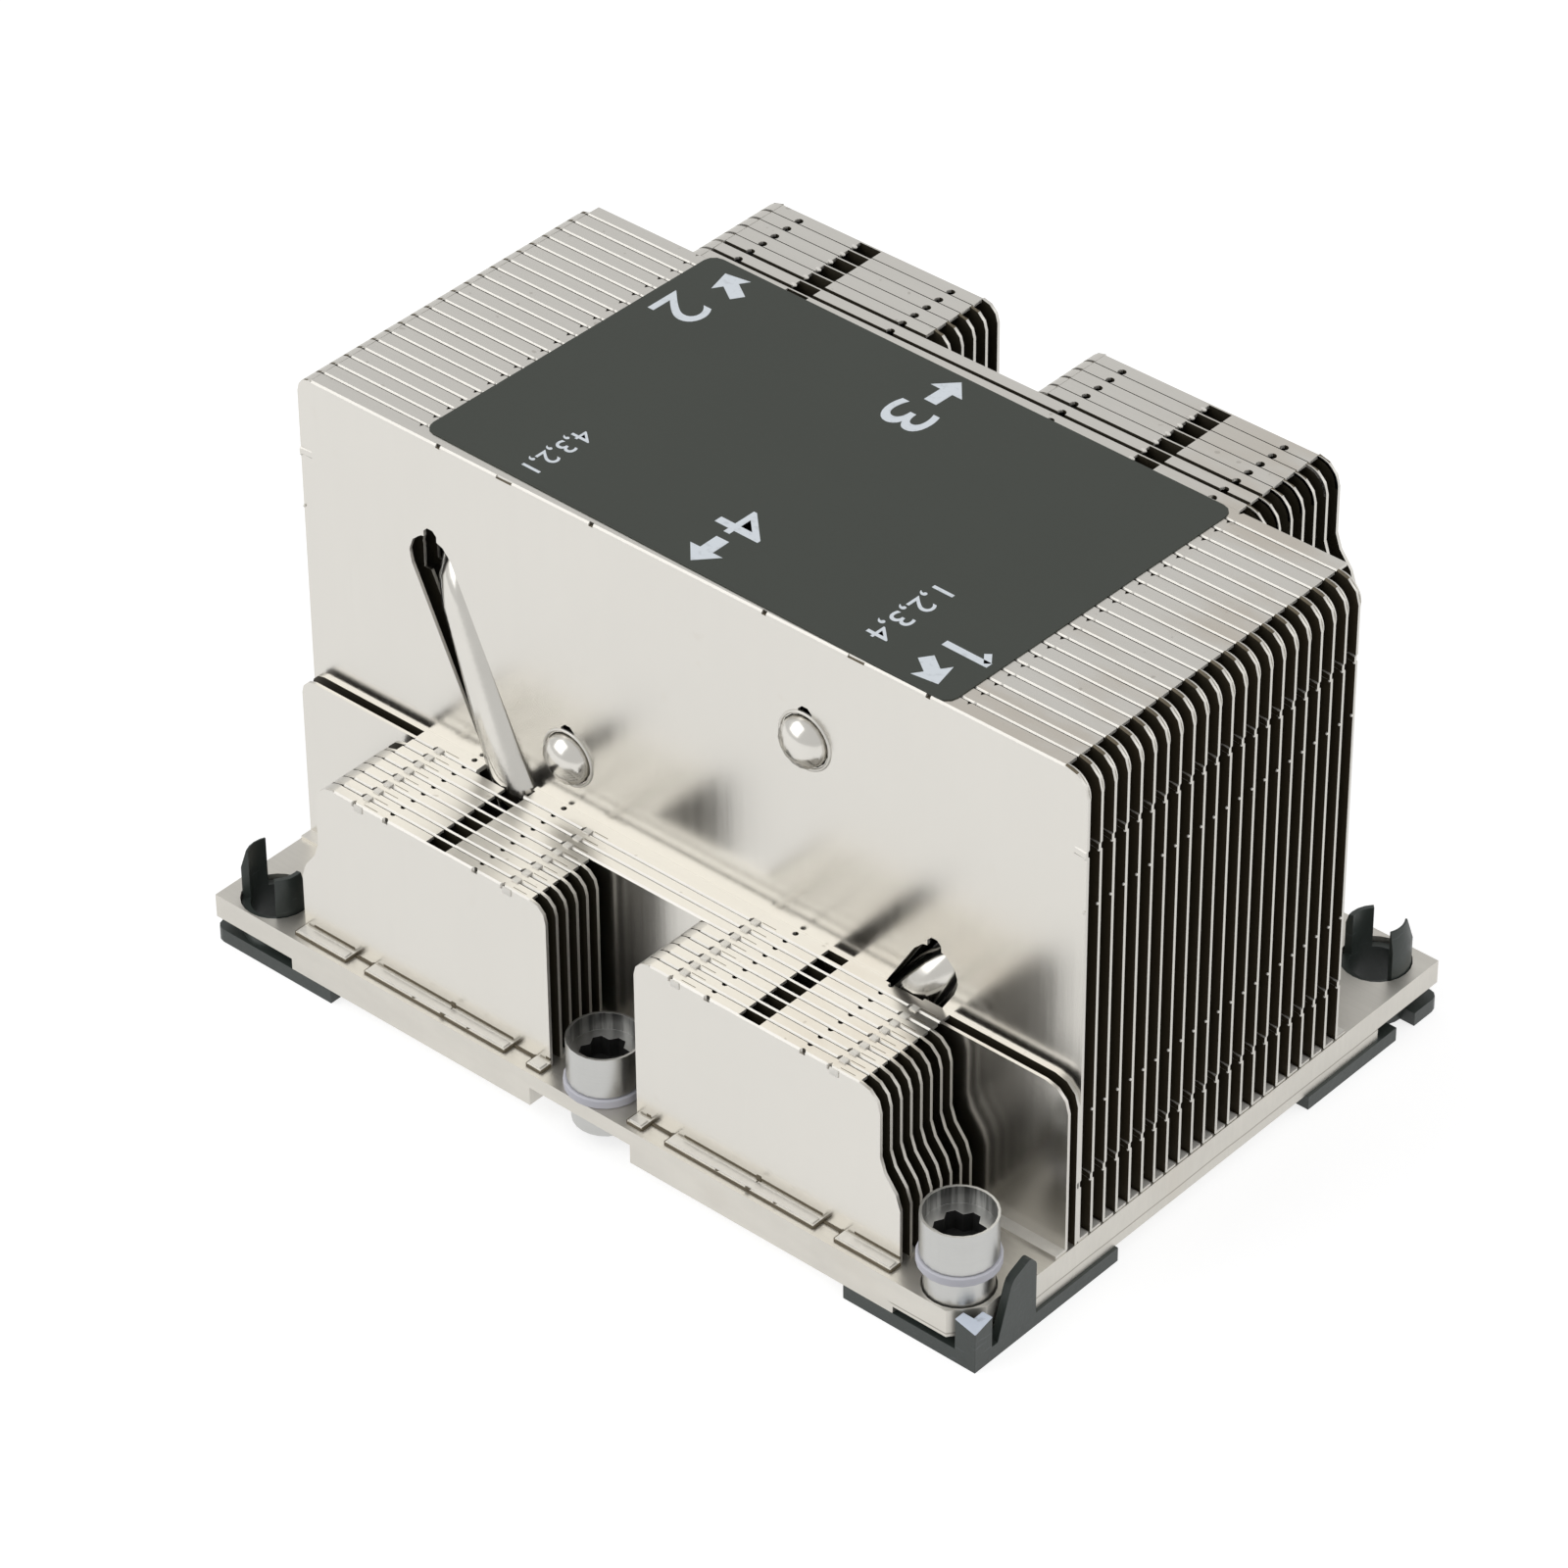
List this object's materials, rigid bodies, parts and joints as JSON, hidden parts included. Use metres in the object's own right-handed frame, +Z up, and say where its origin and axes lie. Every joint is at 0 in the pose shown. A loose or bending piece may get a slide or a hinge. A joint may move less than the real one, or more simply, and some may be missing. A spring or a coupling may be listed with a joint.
{
  "type": "passive server processor heatsink",
  "caption": "Tall passive server processor heatsink: nickel-plated folded fins on a base plate, bent heat pipes, captive nuts, plastic carrier clip and numbered top label.",
  "frame": {"origin": "middle of the footprint, at the underside of the carrier clip", "axes": "+X along the fins, the way the air flows; +Y from the low front shelf to the rear; +Z up, away from the processor"},
  "size_m": [0.1088, 0.0786, 0.0662],
  "materials": {
    "nickel_fin": "satin nickel plate with a fine upright grain",
    "nickel_base": "nickel plated copper, milled",
    "nickel_pipe": "nickel plated copper, smooth",
    "steel_nut": "turned, bright",
    "ring_plastic": "matt",
    "dark_plastic": "moulded, matt",
    "label_film": "matt printed film"
  },
  "bodies": {
    "heatsink": {"base_plate": "nickel_base", "carrier_clip": "dark_plastic", "core_fin_01": "nickel_fin", "core_fin_02": "nickel_fin", "core_fin_03": "nickel_fin", "core_fin_04": "nickel_fin", "core_fin_05": "nickel_fin", "core_fin_06": "nickel_fin", "core_fin_07": "nickel_fin", "core_fin_08": "nickel_fin", "core_fin_09": "nickel_fin", "core_fin_10": "nickel_fin", "core_fin_11": "nickel_fin", "core_fin_12": "nickel_fin", "core_fin_13": "nickel_fin", "core_fin_14": "nickel_fin", "core_fin_15": "nickel_fin", "core_fin_16": "nickel_fin", "core_fin_17": "nickel_fin", "core_fin_18": "nickel_fin", "core_fin_19": "nickel_fin", "core_fin_20": "nickel_fin", "core_fin_21": "nickel_fin", "core_fin_22": "nickel_fin", "heat_pipe_front_left": "nickel_pipe", "heat_pipe_front_right": "nickel_pipe", "heat_pipe_rear_left": "nickel_pipe", "heat_pipe_rear_right": "nickel_pipe", "number_label": "label_film", "rear_bridge_fin_1": "nickel_fin", "rear_bridge_fin_2": "nickel_fin", "rear_fins_left": "nickel_fin", "rear_fins_right": "nickel_fin", "shelf_bridge_fin_7": "nickel_fin", "shelf_bridge_fin_8": "nickel_fin", "shelf_fin_left_1": "nickel_fin", "shelf_fin_left_2": "nickel_fin", "shelf_fin_left_3": "nickel_fin", "shelf_fin_left_4": "nickel_fin", "shelf_fin_left_5": "nickel_fin", "shelf_fin_left_6": "nickel_fin", "shelf_fin_right_1": "nickel_fin", "shelf_fin_right_2": "nickel_fin", "shelf_fin_right_3": "nickel_fin", "shelf_fin_right_4": "nickel_fin", "shelf_fin_right_5": "nickel_fin", "shelf_fin_right_6": "nickel_fin", "shelf_long_fins_left": "nickel_fin", "shelf_long_fins_right": "nickel_fin"},
    "ring_1": {"retaining_ring_1": "ring_plastic"},
    "nut_1": {"captive_nut_1": "steel_nut"},
    "ring_2": {"retaining_ring_2": "ring_plastic"},
    "nut_2": {"captive_nut_2": "steel_nut"},
    "ring_3": {"retaining_ring_3": "ring_plastic"},
    "nut_3": {"captive_nut_3": "steel_nut"},
    "ring_4": {"retaining_ring_4": "ring_plastic"},
    "nut_4": {"captive_nut_4": "steel_nut"}
  },
  "joints": [
    {"name": "nut_1_float", "type": "slide", "parent": "heatsink", "child": "ring_1", "axis": [0, 0, 1], "range_m": [-0.00325, 0]},
    {"name": "nut_1_turn", "type": "hinge", "parent": "ring_1", "child": "nut_1", "pos_m": [0.0487, -0.0348, 0.00945], "axis": [0, 0, 1], "continuous": true},
    {"name": "nut_2_float", "type": "slide", "parent": "heatsink", "child": "ring_2", "axis": [0, 0, 1], "range_m": [0, 0.00325]},
    {"name": "nut_2_turn", "type": "hinge", "parent": "ring_2", "child": "nut_2", "pos_m": [-0.0487, 0.0348, 0.0062], "axis": [0, 0, 1], "continuous": true},
    {"name": "nut_3_float", "type": "slide", "parent": "heatsink", "child": "ring_3", "axis": [0, 0, 1], "range_m": [0, 0.00325]},
    {"name": "nut_3_turn", "type": "hinge", "parent": "ring_3", "child": "nut_3", "pos_m": [0, 0.0348, 0.0062], "axis": [0, 0, 1], "continuous": true},
    {"name": "nut_4_float", "type": "slide", "parent": "heatsink", "child": "ring_4", "axis": [0, 0, 1], "range_m": [0, 0.00325]},
    {"name": "nut_4_turn", "type": "hinge", "parent": "ring_4", "child": "nut_4", "pos_m": [0, -0.0348, 0.0062], "axis": [0, 0, 1], "continuous": true}
  ]
}
